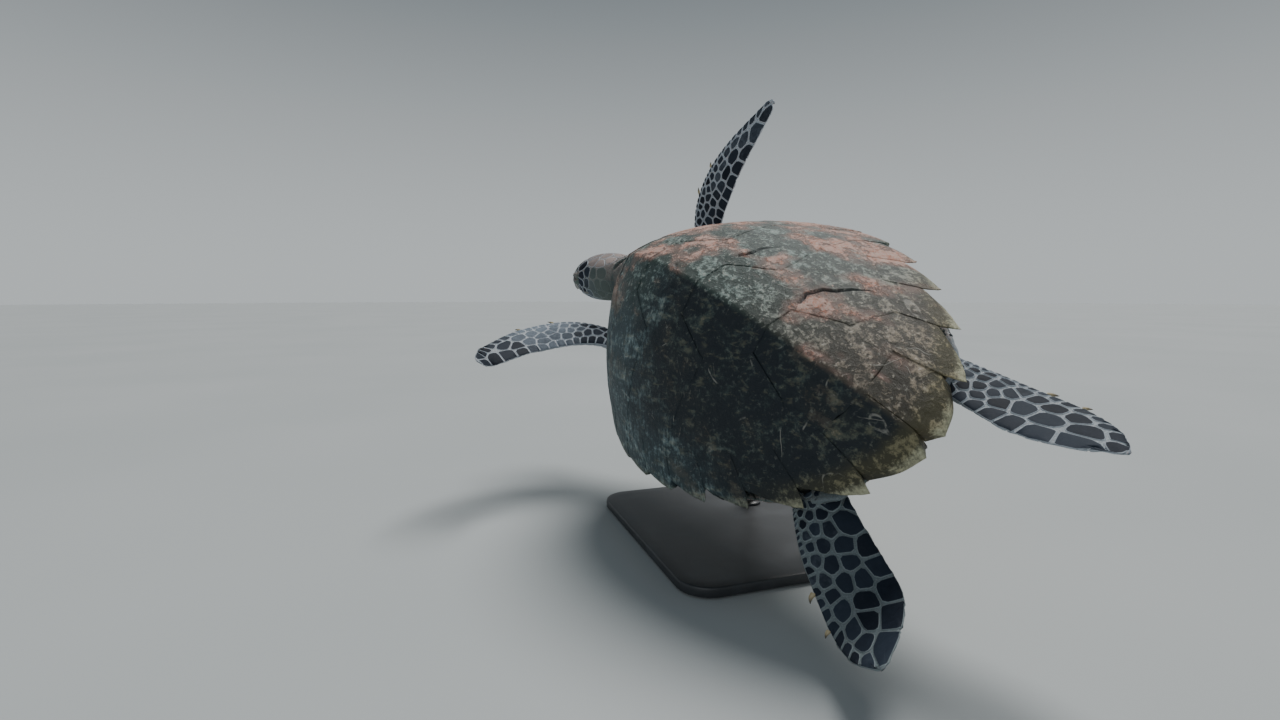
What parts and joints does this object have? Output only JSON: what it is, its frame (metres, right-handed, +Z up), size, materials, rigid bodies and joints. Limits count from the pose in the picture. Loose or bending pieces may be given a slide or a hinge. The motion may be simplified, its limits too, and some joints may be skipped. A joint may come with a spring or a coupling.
{
  "type": "hawksbill sea turtle, swimming, life-size museum model on a display stand",
  "caption": "Life-size hawksbill sea turtle caught mid-stroke, banked to its left, with a toothed plated shell, held over a flat base by two short rods.",
  "frame": {"origin": "middle of the underside of the stand's base, on the floor", "axes": "+Z up, +X the way the turtle swims, +Y to its left"},
  "size_m": [1.0828, 0.543, 0.7025],
  "materials": {
    "shell_plate": "weathered horn plates, grey green with pink crust and pale scratches",
    "shell_margin": "olive and tan horn, paler at the thin rear edges",
    "belly_plate": "cream yellow horn",
    "skin": "grey green skin with fine scales",
    "flipper_skin": "dark slate scales parted by pale lines",
    "beak": "dark horn, satin",
    "eye": "wet black",
    "claw": "pale horn",
    "stand": "satin charcoal paint"
  },
  "bodies": {
    "root": {"nuchal": "shell_plate", "vertebral_1": "shell_plate", "vertebral_2": "shell_plate", "vertebral_3": "shell_plate", "vertebral_4": "shell_plate", "vertebral_5": "shell_plate", "costal_left_1": "shell_plate", "costal_left_2": "shell_plate", "costal_left_3": "shell_plate", "costal_left_4": "shell_plate", "marginal_left_1_2": "shell_margin", "marginal_left_3_4": "shell_margin", "marginal_left_5_6": "shell_margin", "marginal_left_7_8": "shell_margin", "marginal_left_9": "shell_margin", "marginal_left_10": "shell_margin", "marginal_left_11": "shell_margin", "supracaudal_left": "shell_margin", "costal_right_1": "shell_plate", "costal_right_2": "shell_plate", "costal_right_3": "shell_plate", "costal_right_4": "shell_plate", "marginal_right_1_2": "shell_margin", "marginal_right_3_4": "shell_margin", "marginal_right_5_6": "shell_margin", "marginal_right_7_8": "shell_margin", "marginal_right_9": "shell_margin", "marginal_right_10": "shell_margin", "marginal_right_11": "shell_margin", "supracaudal_right": "shell_margin", "plastron_gular": "belly_plate", "plastron_pectoral": "belly_plate", "plastron_abdominal": "belly_plate", "plastron_femoral": "belly_plate", "plastron_anal": "belly_plate", "flipper_front_left": "flipper_skin", "claw_front_left_1": "claw", "claw_front_left_2": "claw", "flipper_front_right": "flipper_skin", "claw_front_right_1": "claw", "claw_front_right_2": "claw", "flipper_hind_left": "flipper_skin", "claw_hind_left_1": "claw", "claw_hind_left_2": "claw", "flipper_hind_right": "flipper_skin", "claw_hind_right_1": "claw", "claw_hind_right_2": "claw", "tail": "skin", "trunk": "skin", "head": "skin", "upper_beak": "beak", "lower_beak": "beak", "lower_jaw": "skin", "eye_left": "eye", "eye_right": "eye", "neck": "skin", "stand_base": "stand", "stand_rod_front": "stand", "stand_rod_rear": "stand"}
  },
  "joints": []
}
